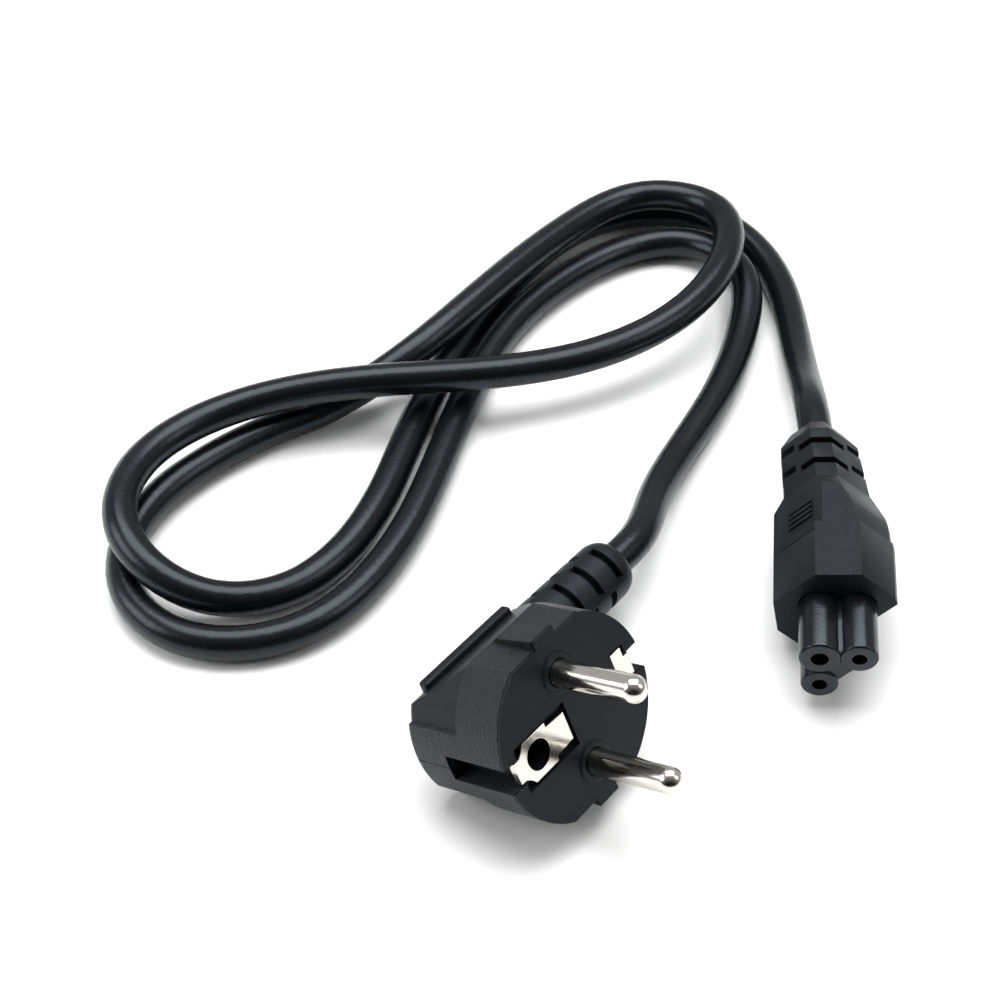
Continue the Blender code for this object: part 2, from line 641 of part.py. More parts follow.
def smooth_line(points, start_way, end_way, samples):
    """A cubic spline through the points, with the given directions at its two ends."""
    points = np.array(points)
    gaps = np.linalg.norm(np.diff(points, axis=0), axis=1)
    count = len(points)
    matrix = np.zeros((count, count))
    target = np.zeros((count, 3))
    for i in range(1, count - 1):
        matrix[i, i - 1:i + 2] = gaps[i], 2 * (gaps[i - 1] + gaps[i]), gaps[i - 1]
        target[i] = 3 * (gaps[i] * (points[i] - points[i - 1]) / gaps[i - 1]
                         + gaps[i - 1] * (points[i + 1] - points[i]) / gaps[i])
    matrix[0, 0] = matrix[-1, -1] = 1
    target[0], target[-1] = start_way, end_way
    ways = np.linalg.solve(matrix, target)
    line = []
    for i in range(count - 1):
        for s in np.arange(samples) / samples:
            line.append((2 * s**3 - 3 * s**2 + 1) * points[i] + (s**3 - 2 * s**2 + s) * gaps[i] * ways[i]
                        + (3 * s**2 - 2 * s**3) * points[i + 1] + (s**3 - s**2) * gaps[i] * ways[i + 1])
    line.append(points[-1])
    return np.array(line)


def evenly(line, step):
    """The line again, with points an equal distance apart."""
    far = np.concatenate([[0], np.cumsum(np.linalg.norm(np.diff(line, axis=0), axis=1))])
    at = np.linspace(0, far[-1], round(far[-1] / step) + 1)
    return np.stack([np.interp(at, far, line[:, k]) for k in range(3)], axis=1)


def cord(plug, connector, look):
    """The cord, from the tip of the plug's strain relief to the tip of the connector's."""
    start = plug @ Vector((0, PLUG_RELIEF_END + CLEARANCE, -CABLE_DEPTH))
    tip = Vector((*TIP_MIDDLE, -CONNECTOR_RELIEF_END))
    lean = (Vector((*NECK_MIDDLE, -RELIEF_FROM)) - tip).normalized()
    end = connector @ (tip - 2 * CLEARANCE * lean)
    start_way = plug.to_3x3() @ Vector((0, 1, 0))
    end_way = connector.to_3x3() @ lean
    first, last = start + CORD_LEAD * start_way, end - CORD_LEAD * end_way
    points = [first] + [Vector(p) / 1000 for p in ROUTE_MM] + [last]
    line = smooth_line(points, start_way, end_way, 12)
    line[:, 2] = np.maximum(line[:, 2], CORD_D / 2)
    route = [start, *evenly(line, CORD_STEP), end]
    curve = bpy.data.curves.new("cord", "CURVE")
    curve.dimensions = "3D"
    curve.bevel_depth = CORD_D / 2
    curve.bevel_resolution = 2
    curve.use_fill_caps = True
    spline = curve.splines.new("POLY")
    spline.points.add(len(route) - 1)
    for place, point in zip(route, spline.points):
        point.co = (*place, 1)
    made = bpy.data.objects.new("cord", curve)
    bpy.context.scene.collection.objects.link(made)
    curve.materials.append(look)
    return made


def main():
    clear_scene()
    overmould = material("overmould", OVERMOULD_COLOUR, 0.6)
    face_look = material("face", FACE_COLOUR, 0.55)
    nose_look = material("nose", NOSE_COLOUR, 0.3)
    cord_look = material("cord", CORD_COLOUR, 0.38)
    nickel = material("nickel", NICKEL_COLOUR, 0.18, 1.0)

    plug = frame_empty("plug", PLUG_PLACE, PLUG_TURN)
    turn = (Matrix.Rotation(NOSE_YAW, 4, "Z") @ Matrix.Rotation(pi / 2, 4, "X")
            @ Matrix.Rotation(NOSE_ROLL, 4, "Z"))
    connector = frame_empty("connector", NOSE_PLACE, turn.to_euler())

    plug_shell(plug, overmould)
    plug_face(plug, face_look)
    pin("pin_left", -1, plug, nickel)
    pin("pin_right", 1, plug, nickel)
    earth_plate(plug, nickel)
    earth_clip(plug, nickel)

    connector_shell(connector, overmould)
    connector_nose(connector, nose_look)
    for label, centre, radius, hole in lobes():
        contact(f"contact_{label}", centre, hole, connector, nickel)

    plug_matrix = Matrix.LocRotScale(Vector(PLUG_PLACE), Euler(PLUG_TURN), None)
    connector_matrix = Matrix.LocRotScale(Vector(NOSE_PLACE), turn.to_quaternion(), None)
    cord(plug_matrix, connector_matrix, cord_look)


main()
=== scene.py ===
# The looks of a mains lead: an earthed angled plug, a round cord in loose loops and a cloverleaf connector.
# Lengths are in metres, in the same frame as the solids.

from math import acos, cos, pi, radians, sin

import bmesh
import bpy
import numpy as np
from mathutils import Euler, Matrix, Vector


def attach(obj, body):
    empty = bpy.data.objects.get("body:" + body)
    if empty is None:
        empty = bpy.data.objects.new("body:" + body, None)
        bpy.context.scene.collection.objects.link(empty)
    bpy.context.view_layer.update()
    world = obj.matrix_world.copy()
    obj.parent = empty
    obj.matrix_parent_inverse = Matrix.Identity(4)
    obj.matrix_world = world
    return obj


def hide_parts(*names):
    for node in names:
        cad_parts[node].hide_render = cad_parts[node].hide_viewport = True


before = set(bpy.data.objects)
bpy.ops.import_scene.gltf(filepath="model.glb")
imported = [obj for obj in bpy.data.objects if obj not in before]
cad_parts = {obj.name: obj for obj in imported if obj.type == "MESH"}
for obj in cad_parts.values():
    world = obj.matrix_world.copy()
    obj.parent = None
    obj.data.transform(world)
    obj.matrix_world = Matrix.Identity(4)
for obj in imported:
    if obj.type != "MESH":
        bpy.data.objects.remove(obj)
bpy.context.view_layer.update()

# Camera: in front of the part and above it, looking 45.5 degrees down
CAMERA_PLACE = (-0.0287, -0.2384, 0.2840)
CAMERA_DOWN = radians(45.5)
CAMERA_LENS = 72.0
CAMERA_SENSOR = 36.0
CAMERA_NEAR = 0.01

# Modelling
TURNED_SIDES = 72
MERGE_TURNED = 1e-6
THIN_TURNED = 1e-7
FLAT_HULL = radians(0.5)     # faces that turn less become one, in a hull
FLAT_CUT = radians(0.6)      # the same, after the cuts
MERGE_CUT = 2e-6
ROUND_FROM = radians(25)     # edges of a hull that turn more are rounded
ROUND_SEGMENTS = 4
SOFTEN_FROM = radians(32)    # edges left by the cuts that turn more are rounded
SOFTEN_SEGMENTS = 2
SHARP_FROM = radians(18)     # edges that turn more are shaded sharp
SLOT_SIDES = 24
CLIP_SIDES = 24
ROUTE_SAMPLES = 24           # points of the spline from one route point to the next
SHEATH_RESOLUTION = 8

# Degrees from one ring to the next on a rounded end
SHELL_STEP = 10
RELIEF_STEP = 9
PIN_STEP = 6
NOSE_STEP = 15

# Mouldings: a fine grain, and clouds that change colour and roughness a little
PLASTIC_IOR = 1.45
SHINE_TINT = (0.78, 0.88, 1.0, 1)
GRAIN_HEIGHT = 0.00045
GRAIN_DETAIL = 3
CLOUD_SCALE = 140
CLOUD_DETAIL = 4
CLOUD_ROUGHNESS = 0.04
CLOUD_SHADES = (0.85, 1.15)

# Nickel: faint marks
MARKS_SCALE = 600
MARKS_DETAIL = 5
MARKS_ROUGHNESS = (0.6, 1.4)
MARKS_SHADE = 0.92

# Stage
FLOOR_REACH = 3.0
FLOOR_COLOUR = (0.93, 0.93, 0.93, 1)
FLOOR_ROUGHNESS = 0.9
ROOM_FADE = (-0.80, 0.10)    # directions between which the room brightens, from the near side to the far one
ROOM_STRENGTH = (0.02, 0.50)
LIGHT_AIM = (0, 0.03, 0)
LIGHTS = [                   # name, place, width and height, power
    ("top light", (0.0, 0.25, 0.80), (0.9, 0.6), 11.0),
    ("left light", (-0.75, -0.05, 0.40), (0.5, 0.4), 3.2),
    ("right light", (0.60, -0.10, 0.50), (0.25, 0.35), 0.9),
]

# Fit and finish of the pieces
CLEARANCE = 0.0003           # between pieces that touch
ARC_STEP = radians(3)        # turn of one side of a round outline
EASED = 0.00016              # rounding of the edges that the cuts leave
SEAM_WIDTH = 0.00016         # parting lines
SEAM_DEPTH = 0.00012

# Cord. The route's points are in millimetres, from the plug to the connector.
CORD_D = 0.0068
CORD_STEP = 0.0025           # between two points of the tube
CORD_LEAD = 0.0040           # straight run out of each strain relief
ROUTE_MM = [
    (1.2, 34.9, 6), (14.8, 64.6, 3.5), (23.8, 90.6, 4), (24.3, 105.1, 5.5), (15.3, 116.6, 4.5),
    (-19.7, 99.6, 3.5), (-32.7, 76.1, 3.5), (-40.7, 48.6, 3.5), (-50.2, 21.6, 3.5),
    (-67.7, 2.6, 3.5), (-87.7, 2.1, 3.5), (-98.7, 13.1, 3.5), (-100.2, 26.6, 3.5),
    (-90.7, 44.6, 3.5), (-66.2, 62.6, 3.5), (-49.7, 71.6, 9), (-35.2, 87.1, 11.5),
    (-13.2, 114.6, 11), (5.3, 126.1, 11), (18.8, 120.1, 12), (20.8, 105.1, 13),
    (11.3, 86.6, 12), (-11.7, 71.1, 11), (-36.7, 64.6, 12), (-54.7, 61.6, 13),
    (-81.7, 56.1, 11), (-98.7, 40.6, 11), (-99.7, 21.6, 11), (-84.2, 9.6, 6.5),
    (-67.2, 14.6, 3.5), (-55.2, 30.1, 3.5), (-47.2, 55.1, 3.5), (-39.2, 80.1, 3.5),
    (-24.2, 108.6, 3.5), (-4.7, 127.6, 3.5), (15.3, 129.1, 3.5), (28.8, 115.6, 3.5),
    (34.1, 83.6, 4.3), (33.8, 65.6, 8.6),
]

# Plug, in its own frame: +Z the way the pins point, +Y the way the cord leaves, X along the line of the pins
PLUG_PLACE = (-0.01585, -0.02997, 0.02006)
PLUG_TURN = (0.0, radians(64), radians(-39))
PLUG = Matrix.LocRotScale(Vector(PLUG_PLACE), Euler(PLUG_TURN), None)
HEAD_R = 0.0180              # round outline of the face
HEAD_FLAT = 0.0158           # flats at both ends of the pin line
HEAD_DEPTH = 0.0105
RIB_OUT = 0.0175             # guide rib on each flat, lower at its back
RIB_BACK_OUT = 0.0168
RIB_HALF = 0.0025
RIB_SHORT = 0.0013           # length of the slope at the rib's back
NOTCH_HALF = 0.00255         # earth notch at the top and bottom of the face
NOTCH_FLOOR = 0.0146
NOTCH_DEPTH = 0.0142
WAIST_R = 0.0173             # smooth part behind the head, narrowing to the finger bars
WAIST_SIDE = 0.0155
WAIST_TOP = 0.0168
WAIST_RINGS = 16
SHELL_BACK = 0.0233          # flat back of the shell, behind the finger bars
SHELL_HALF = 0.0095
SHELL_TOP = 0.0130
SHELL_ROUND = 0.0017
HEEL_HALF = 0.0068           # block round the lower earth notch
HEEL_TOP = -0.0100
GRIP_AT = 0.0205             # finger bars on both sides
GRIP_THICK = 0.0022
GRIP_RISE = 0.0020
GRIP_LOW = -0.0114
GRIP_TOP = 0.0114
GRIP_ROUND = 0.0006
REAR_DEPTH = 0.0290          # hump over the cord, behind the finger bars
REAR_INSET = 0.0014
REAR_NARROWING = 0.0025
REAR_LOW = -0.0140
REAR_BACK_LOW = 0.0040
REAR_BACK_TOP = 0.0160
REAR_ROUND = 0.0010
CABLE_DEPTH = 0.0244         # cord axis behind the face
PLUG_RELIEF_ROOT_R = 0.0062
PLUG_RELIEF_R = 0.0059
PLUG_RELIEF_START = 0.0090
PLUG_RELIEF_END = 0.0400
PLUG_SLOTS_FROM_END = 0.0044
PLUG_SLOT_PITCH = 0.0056
PLUG_SLOT_COUNT = 3
RELIEF_TIP_R = 0.0040
RELIEF_CONE = 0.0034
SLOT_WIDTH = 0.0016          # slots of both strain reliefs
SLOT_DEPTH = 0.0016
SLOT_SPAN = radians(80)
FACE_LIP = 0.0005            # rim of the face moulding
FACE_ROOT = 0.0050           # its depth inside the shell
FACE_ROOT_INSET = 0.0024
FACE_ROOT_NOTCH = 0.0014     # how much wider the notches are in the root
PLATE_BED_HALF = 0.0045      # bed of the earth plate in the face
PLATE_BED_TOP = -0.0015
PLATE_BED_DEPTH = 0.0011
PIN_SPACING = 0.0190
PIN_R = 0.0024
PIN_LENGTH = 0.0190
PIN_ROOT = 0.0040
PIN_BOSS_R = 0.0037
PIN_BOSS_HEIGHT = 0.0003
EARTH_HOLE_Y = -0.0100
EARTH_HOLE_R = 0.0027
EARTH_HOLE_DEPTH = 0.0045
PLATE_THICK = 0.0006
PLATE_SUNK = 0.0002
PLATE_HEAD_HALF = 0.0028
PLATE_NECK_HALF = 0.0031
PLATE_HALF = 0.0040
PLATE_SHOULDER_Y = -0.0066
PLATE_LOW_Y = -0.0125
PLATE_SLOPE = 0.0008
CLIP_HALF = 0.0021
LOWER_CLIP_DEPTH = 0.0016
UPPER_CLIP_DEPTH = 0.0125
CLIP_FOOT_Y = 0.0116         # the upper clip's foot lies in its own bed in the face
CLIP_BOW = 0.0011
CLIP_THICK = 0.0006

# Connector, in its own frame: +Z the way the nose points, X across the lower lobes, +Y towards the earth lobe
NOSE_PLACE = (0.03143, -0.01185, 0.00992)
NOSE_YAW = radians(-5.8)
NOSE_ROLL = radians(51.2)
CONNECTOR = (Matrix.Translation(NOSE_PLACE) @ Matrix.Rotation(NOSE_YAW, 4, "Z")
             @ Matrix.Rotation(pi / 2, 4, "X") @ Matrix.Rotation(NOSE_ROLL, 4, "Z"))
NOSE_LENGTH = 0.0126
NOSE_ROOT = 0.0030
NOSE_ROUNDING = 0.0005
LINE_X = 0.0049              # lower holes, left and right
EARTH_Y = 0.0049
LINE_LOBE_R = 0.00338
EARTH_LOBE_R = 0.00372
LINE_HOLE_R = 0.00135
EARTH_BORE_R = 0.0016
CONTACT_DEPTH = 0.0110
BODY_MIDDLE_X = 0.0006       # the body's middle, measured from the nose's
BODY_HALF = 0.0106
BODY_FOOT = 0.0010           # cut off the two lower corners
BODY_BOTTOM = -0.0046
BODY_FOOT_Y = -0.0030
BODY_SHOULDER_Y = 0.0055
BODY_TOP = 0.0113
BODY_TOP_HALF = 0.0053
BODY_TOP_MIDDLE_X = 0.0001
BODY_FRONT_END = 0.0260      # from the nose's end back to the small step round the body
BODY_STEP = 0.0007
BODY_TOP_STEP = 0.0010
# Rings of the shoulder: how far behind the nose's end, and how much narrower at each side
SHOULDER_RINGS = [(0.0260, 0.0), (0.0286, 0.0001), (0.0312, 0.0003), (0.0330, 0.0007),
                  (0.0342, 0.0012), (0.0353, 0.0017), (0.0362, 0.0023)]
NECK_AT = 0.0387
RELIEF_FROM = 0.0360         # the strain relief leans a little, from here to its tip
NECK_MIDDLE = (0.0009, 0.0029)
TIP_MIDDLE = (0.0, 0.0049)
NECK_HALF = 0.0072
CONNECTOR_RELIEF_HALF = 0.0065
CONNECTOR_TIP_HALF = 0.0045
CONNECTOR_RELIEF_END = 0.0560
CONNECTOR_CONE = 0.0040
FLAT_SHARE = 0.60            # flat part of each side of the eight-sided relief
CONNECTOR_SLOTS_FROM_END = 0.0074
CONNECTOR_SLOT_PITCH = 0.0055
CONNECTOR_SLOT_COUNT = 2
CONNECTOR_SLOT_SHIFT = 0.0012
BODY_LINE_AT = 0.0240        # fine line across the top, behind the nose's end
GRIP_BARS = 4
GRIP_BAR_WIDTH = 0.0007
GRIP_BAR_PITCH = 0.00125
GRIP_BAR_MIDDLE_X = 0.0009
GRIP_BAR_HALF = 0.0030
GRIP_BAR_AT = 0.0293
GRIP_BAR_RISE = 0.0004
SLANT_UP = 0.3               # normals of the slanted, grained faces between the top and the sides
SLANT_OUT = 0.5
SLANT_ALONG = 0.1


# Materials

def new_material(name):
    """A material, its node tree and its shader."""
    made = bpy.data.materials.new(name)
    made.use_nodes = True
    return made, made.node_tree, made.node_tree.nodes["Principled BSDF"]


def noise(tree, scale, detail):
    """A noise that is fixed to the object."""
    place = tree.nodes.new("ShaderNodeTexCoord")
    made = tree.nodes.new("ShaderNodeTexNoise")
    made.inputs["Scale"].default_value = scale
    made.inputs["Detail"].default_value = detail
    tree.links.new(place.outputs["Object"], made.inputs["Vector"])
    return made.outputs["Fac"]


def vary(tree, shader, source, roughnesses, colours):
    """Lets a noise change the roughness and the colour between two values each."""
    rough = tree.nodes.new("ShaderNodeMapRange")
    rough.inputs["To Min"].default_value, rough.inputs["To Max"].default_value = roughnesses
    tree.links.new(source, rough.inputs["Value"])
    tree.links.new(rough.outputs["Result"], shader.inputs["Roughness"])
    tint = tree.nodes.new("ShaderNodeMix")
    tint.data_type = "RGBA"
    tint.inputs[6].default_value, tint.inputs[7].default_value = colours
    tree.links.new(source, tint.inputs["Factor"])
    tree.links.new(tint.outputs[2], shader.inputs["Base Color"])


def moulded(name, colour, roughness, shine, grain, grain_size):
    """Moulded plastic: a fine grain in the bump and slow changes in roughness and colour."""
    made, tree, shader = new_material(name)
    shader.inputs["IOR"].default_value = PLASTIC_IOR
    shader.inputs["Specular IOR Level"].default_value = shine
    shader.inputs["Specular Tint"].default_value = SHINE_TINT
    bump = tree.nodes.new("ShaderNodeBump")
    bump.inputs["Strength"].default_value = grain
    bump.inputs["Distance"].default_value = GRAIN_HEIGHT
    tree.links.new(noise(tree, 1 / grain_size, GRAIN_DETAIL), bump.inputs["Height"])
    tree.links.new(bump.outputs["Normal"], shader.inputs["Normal"])
    vary(tree, shader, noise(tree, CLOUD_SCALE, CLOUD_DETAIL),
         (roughness - CLOUD_ROUGHNESS, roughness + CLOUD_ROUGHNESS),
         [(*[shade * c for c in colour], 1) for shade in CLOUD_SHADES])
    return made


def plated(name, colour, roughness):
    """Metal plate with faint marks."""
    made, tree, shader = new_material(name)
    shader.inputs["Metallic"].default_value = 1.0
    vary(tree, shader, noise(tree, MARKS_SCALE, MARKS_DETAIL),
         [share * roughness for share in MARKS_ROUGHNESS],
         [(*[MARKS_SHADE * c for c in colour], 1), (*colour, 1)])
    return made


# Name, colour, roughness, shine, and the strength and size of the grain
GRAINED = moulded("grained moulding", (0.0090, 0.0098, 0.0116), 0.42, 0.36, 1.0, 0.00037)
SMOOTH = moulded("smooth moulding", (0.0070, 0.0078, 0.0095), 0.42, 0.22, 0.16, 0.00030)
FACE = moulded("face moulding", (0.0060, 0.0068, 0.0084), 0.44, 0.19, 0.16, 0.00030)
GLOSSY = moulded("glossy nose", (0.0035, 0.0040, 0.0050), 0.24, 0.46, 0.10, 0.0005)
SHEATH = moulded("cord sheath", (0.0036, 0.0040, 0.0050), 0.27, 0.36, 0.10, 0.0009)
# Name, colour, roughness
NICKEL = plated("nickel plate", (0.70, 0.67, 0.62), 0.14)


# Modelling

def made_object(name, bm):
    """The mesh as an object of the scene."""
    bmesh.ops.recalc_face_normals(bm, faces=bm.faces)
    mesh = bpy.data.meshes.new(name)
    bm.to_mesh(mesh)
    bm.free()
    made = bpy.data.objects.new(name, mesh)
    bpy.context.scene.collection.objects.link(made)
    return made


def pull(bm, face, way):
    """Pulls one face into a closed solid."""
    pulled = bmesh.ops.extrude_face_region(bm, geom=[face])
    moved = [v for v in pulled["geom"] if isinstance(v, bmesh.types.BMVert)]
    bmesh.ops.translate(bm, verts=moved, vec=way)


def round_edges(bm, width):
    edges = [e for e in bm.edges if len(e.link_faces) == 2 and e.calc_face_angle(0) > ROUND_FROM]
    bmesh.ops.bevel(bm, geom=edges, offset=width, offset_type="OFFSET", segments=ROUND_SEGMENTS, profile=0.5,
                    affect="EDGES", clamp_overlap=True, material=-1)


def prism(name, outline, low, high):
    """An outline in (x, y), pulled from the low level to the high one."""
    bm = bmesh.new()
    pull(bm, bm.faces.new([bm.verts.new((x, y, low)) for x, y in outline]), (0, 0, high - low))
    return made_object(name, bm)


def box(name, low, high):
    corners = [(low[0], low[1]), (high[0], low[1]), (high[0], high[1]), (low[0], high[1])]
    return prism(name, corners, low[2], high[2])


def hull(name, points, rounding=0.0):
    """The tightest solid without hollows round all the points."""
    bm = bmesh.new()
    for point in points:
        bm.verts.new(point)
    made = bmesh.ops.convex_hull(bm, input=bm.verts)
    spare = {v for v in made["geom_interior"] + made["geom_unused"] if isinstance(v, bmesh.types.BMVert)}
    bmesh.ops.delete(bm, geom=list(spare), context="VERTS")
    bmesh.ops.dissolve_limit(bm, angle_limit=FLAT_HULL, verts=bm.verts, edges=bm.edges)
    if rounding:
        round_edges(bm, rounding)
    return made_object(name, bm)


def turned(name, profile, place=None):
    """A profile of (radius, height) pairs, spun about Z and closed at both ends."""
    bm = bmesh.new()
    line = [(0.0, profile[0][1])] + list(profile) + [(0.0, profile[-1][1])]
    verts = [bm.verts.new((r, 0, h)) for r, h in line]
    edges = [bm.edges.new(pair) for pair in zip(verts, verts[1:])]
    bmesh.ops.spin(bm, geom=verts + edges, cent=(0, 0, 0), axis=(0, 0, 1), angle=2 * pi,
                   steps=TURNED_SIDES, use_merge=True)
    bmesh.ops.remove_doubles(bm, verts=bm.verts, dist=MERGE_TURNED)
    bmesh.ops.dissolve_degenerate(bm, dist=THIN_TURNED, edges=bm.edges)
    if place:
        bmesh.ops.transform(bm, matrix=place, verts=bm.verts)
    return made_object(name, bm)


def move(thing, way):
    thing.data.transform(Matrix.Translation(way))
    return thing


def apply_modifiers(target):
    """Replaces the object's mesh by what its modifiers make of it."""
    bpy.context.view_layer.update()
    graph = bpy.context.evaluated_depsgraph_get()
    mesh = bpy.data.meshes.new_from_object(target.evaluated_get(graph))
    target.modifiers.clear()
    target.data = mesh


def combine(target, tools, operation):
    """Applies one exact Boolean after the other, and removes the tools."""
    for tool in tools:
        modifier = target.modifiers.new("combine", "BOOLEAN")
        modifier.operation = operation
        modifier.solver = "EXACT"
        modifier.object = tool
    apply_modifiers(target)
    for tool in tools:
        bpy.data.objects.remove(tool, do_unlink=True)
    return target


def soften(target, width):
    """Rounds the edges that the cuts left, without moving the flats."""
    bm = bmesh.new()
    bm.from_mesh(target.data)
    bmesh.ops.remove_doubles(bm, verts=bm.verts, dist=MERGE_CUT)
    bmesh.ops.dissolve_limit(bm, angle_limit=FLAT_CUT, verts=bm.verts, edges=bm.edges)
    bmesh.ops.dissolve_degenerate(bm, dist=MERGE_CUT, edges=bm.edges)
    bm.to_mesh(target.data)
    bm.free()
    modifier = target.modifiers.new("soften", "BEVEL")
    modifier.width = width
    modifier.segments = SOFTEN_SEGMENTS
    modifier.limit_method = "ANGLE"
    modifier.angle_limit = SOFTEN_FROM
    modifier.harden_normals = False
    modifier.use_clamp_overlap = True
    apply_modifiers(target)


def settle(target, place, node, looks, pick=None):
    """Gives each face its look, puts the mesh in its place in the world and in place of its solid."""
    mesh = target.data
    mesh.materials.clear()
    for look in looks:
        mesh.materials.append(look)
    for face in mesh.polygons:
        face.material_index = pick(face.center, face.normal) if pick else 0
    mesh.transform(place)
    mesh.shade_smooth()
    mesh.set_sharp_from_angle(angle=SHARP_FROM)
    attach(target, "root")
    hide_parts(node)
    return target


def arc(radius, start, end):
    """Points of an arc round the origin, from one turn to the other."""
    steps = max(1, round(abs(end - start) / ARC_STEP))
    step = (end - start) / steps
    return [(radius * cos(start + step * k), radius * sin(start + step * k)) for k in range(steps + 1)]


def at(points, z):
    """The (x, y) points, all at one height."""
    return [(x, y, z) for x, y in points]


def face_outline(inset=0.0, ribs=True, notch_extra=0.0):
    """A circle with two flats, a rib on each flat and a notch above and below."""
    radius, flat = HEAD_R - inset, HEAD_FLAT - inset
    half, floor = NOTCH_HALF + notch_extra, NOTCH_FLOOR - notch_extra
    right = arc(radius, acos(flat / radius), acos(half / radius))
    quarter = [(flat, RIB_HALF)] + right + [(half, floor)]
    if ribs:
        quarter = [(RIB_OUT, RIB_HALF)] + quarter
    upper = quarter + [(-x, y) for x, y in reversed(quarter)]
    return upper + [(-x, -y) for x, y in upper]


def slots(reach, middle, heights, shift, place):
    """Cutters for rows of four slots round the Z axis. Every second slot of a row is shifted along it."""
    made = []
    for height in heights:
        for quarter in range(4):
            level = height + (shift if quarter % 2 else 0.0)
            x, y = middle(level)
            outline = []
            for sign, extra in ((1, SLOT_WIDTH), (-1, -SLOT_DEPTH)):
                for k in range(-SLOT_SIDES // 2, SLOT_SIDES // 2 + 1):
                    turn = radians(45 + 90 * quarter) + sign * k * SLOT_SPAN / SLOT_SIDES
                    far = reach(level, turn) + extra
                    outline.append((x + far * cos(turn), y + far * sin(turn)))
            slot = prism("slot", outline, level - SLOT_WIDTH / 2, level + SLOT_WIDTH / 2)
            slot.data.transform(place)
            made.append(slot)
    return made


# Cord

def smooth_line(points, start_way, end_way, samples):
    """A cubic spline through the points, with the given directions at its two ends."""
    points = np.array(points)
    gaps = np.linalg.norm(np.diff(points, axis=0), axis=1)
    count = len(points)
    matrix = np.zeros((count, count))
    target = np.zeros((count, 3))
    for i in range(1, count - 1):
        matrix[i, i - 1:i + 2] = gaps[i], 2 * (gaps[i - 1] + gaps[i]), gaps[i - 1]
        target[i] = 3 * (gaps[i] * (points[i] - points[i - 1]) / gaps[i - 1]
                         + gaps[i - 1] * (points[i + 1] - points[i]) / gaps[i])
    matrix[0, 0] = matrix[-1, -1] = 1
    target[0], target[-1] = start_way, end_way
    ways = np.linalg.solve(matrix, target)
    line = []
    for i in range(count - 1):
        for s in np.arange(samples) / samples:
            line.append((2 * s**3 - 3 * s**2 + 1) * points[i] + (s**3 - 2 * s**2 + s) * gaps[i] * ways[i]
                        + (3 * s**2 - 2 * s**3) * points[i + 1] + (s**3 - s**2) * gaps[i] * ways[i + 1])
    line.append(points[-1])
    return np.array(line)


def evenly(line, step):
    """Points at even steps along a line, and the line's length."""
    far = np.concatenate([[0], np.cumsum(np.linalg.norm(np.diff(line, axis=0), axis=1))])
    marks = np.linspace(0, far[-1], round(far[-1] / step) + 1)
    return np.stack([np.interp(marks, far, line[:, k]) for k in range(3)], axis=1), far[-1]


def cord():
    """The sheath, from strain relief to strain relief, with its first point and its length."""
    start = PLUG @ Vector((0, PLUG_RELIEF_END + CLEARANCE, -CABLE_DEPTH))
    tip = Vector((*TIP_MIDDLE, -CONNECTOR_RELIEF_END))
    lean = (Vector((*NECK_MIDDLE, -RELIEF_FROM)) - tip).normalized()
    end = CONNECTOR @ (tip - 2 * CLEARANCE * lean)
    start_way = PLUG.to_3x3() @ Vector((0, 1, 0))
    end_way = CONNECTOR.to_3x3() @ lean
    first, last = start + CORD_LEAD * start_way, end - CORD_LEAD * end_way
    points = [first] + [Vector(p) / 1000 for p in ROUTE_MM] + [last]
    line = smooth_line(points, start_way, end_way, ROUTE_SAMPLES)
    line[:, 2] = np.maximum(line[:, 2], CORD_D / 2)
    middle, length = evenly(line, CORD_STEP)
    route = [start, *middle, end]
    curve = bpy.data.curves.new("cord_sheath", "CURVE")
    curve.dimensions = "3D"
    curve.bevel_depth = CORD_D / 2
    curve.bevel_resolution = SHEATH_RESOLUTION
    curve.use_fill_caps = True
    spline = curve.splines.new("POLY")
    spline.points.add(len(route) - 1)
    for place, point in zip(route, spline.points):
        point.co = (*place, 1)
    spline.use_smooth = True
    curve.materials.append(SHEATH)
    made = bpy.data.objects.new("cord_sheath", curve)
    bpy.context.scene.collection.objects.link(made)
    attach(made, "root")
    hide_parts("cord")
    return made, start, length + 2 * CORD_LEAD


# Plug

def shell_ring(radius, half, top, z):
    """A circle cut off at both sides and at the top."""
    turn = acos(half / radius)
    lower = arc(radius, turn - pi, -turn)
    upper = [(x, min(y, top)) for x, y in arc(radius, turn, pi - turn)]
    return at(lower + upper, z)


def rounded_back(radius, half, top):
    """The rings that round the back edge of the shell."""
    points = []
    for degree in range(0, 91, SHELL_STEP):
        inset = SHELL_ROUND * (1 - cos(radians(degree)))
        z = -SHELL_BACK + SHELL_ROUND * (1 - sin(radians(degree)))
        points += shell_ring(radius - inset, half - inset, top - inset, z)
    return points


def waist():
    """The smooth part behind the head: two slanted sides for the fingers."""
    points = shell_ring(WAIST_R, WAIST_SIDE, WAIST_TOP, -HEAD_DEPTH + CLEARANCE)
    for k in range(WAIST_RINGS + 1):
        share = k / WAIST_RINGS
        half = WAIST_SIDE + share * (SHELL_HALF - WAIST_SIDE)
        top = WAIST_TOP + share * (SHELL_TOP - WAIST_TOP)
        points += shell_ring(WAIST_R, half, top, -HEAD_DEPTH - share * (GRIP_AT - HEAD_DEPTH))
    return hull("waist", points + rounded_back(WAIST_R, SHELL_HALF, SHELL_TOP))


def heel():
    """The block round the lower notch, with the head's round outline."""
    points = shell_ring(HEAD_R, HEEL_HALF, HEEL_TOP, -HEAD_DEPTH + CLEARANCE)
    return hull("heel", points + rounded_back(HEAD_R, HEEL_HALF, HEEL_TOP))


